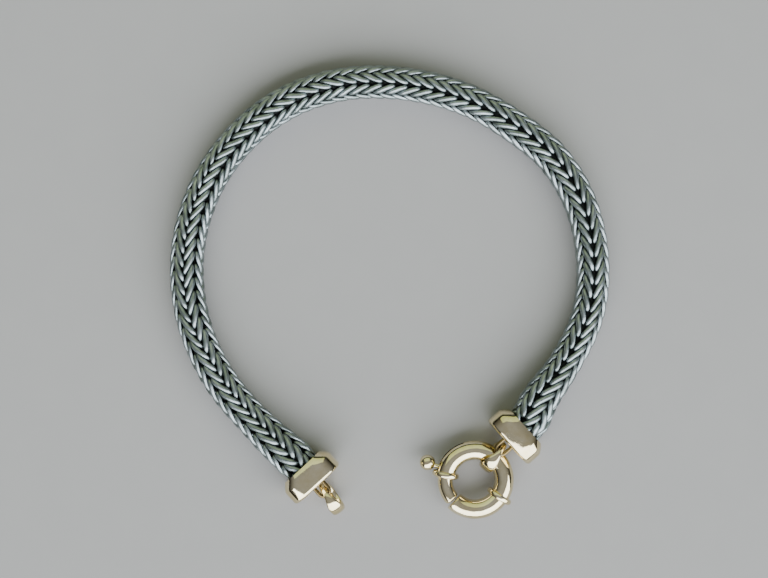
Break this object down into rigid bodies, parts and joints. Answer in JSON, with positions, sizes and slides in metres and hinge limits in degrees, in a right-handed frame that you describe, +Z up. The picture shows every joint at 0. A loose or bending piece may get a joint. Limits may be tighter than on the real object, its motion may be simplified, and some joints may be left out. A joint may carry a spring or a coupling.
{
  "type": "chain bracelet",
  "caption": "Thick woven silver chain bracelet lying open in a C, with boxy gold end caps, a free link ring on one end and a sprung bolt-ring clasp on the other.",
  "frame": {"origin": "centre of the bracelet's box, on the plane that it lies on", "axes": "+Z up from that plane, +Y from the clasp towards the middle of the chain, +X from the left end cap towards the clasp end"},
  "size_m": [0.0731, 0.0754, 0.007],
  "materials": {
    "silver": "oxidised silver, satin with dark gaps",
    "gold": "polished pale gold"
  },
  "bodies": {
    "root": {"woven_chain": "silver", "end_cap_left": "gold", "end_cap_right": "gold", "link_ring_left": "gold", "link_ring_right": "gold", "clasp_body": "gold"},
    "trigger": {"clasp_trigger": "gold"}
  },
  "joints": [
    {"name": "trigger", "type": "hinge", "parent": "root", "child": "trigger", "pos_m": [0.01406, -0.03118, 0.0026], "axis": [0, 0, 1], "range_deg": [-46, 0], "stiffness_Nm_per_rad": 0.005, "springref_deg": 11.46}
  ]
}
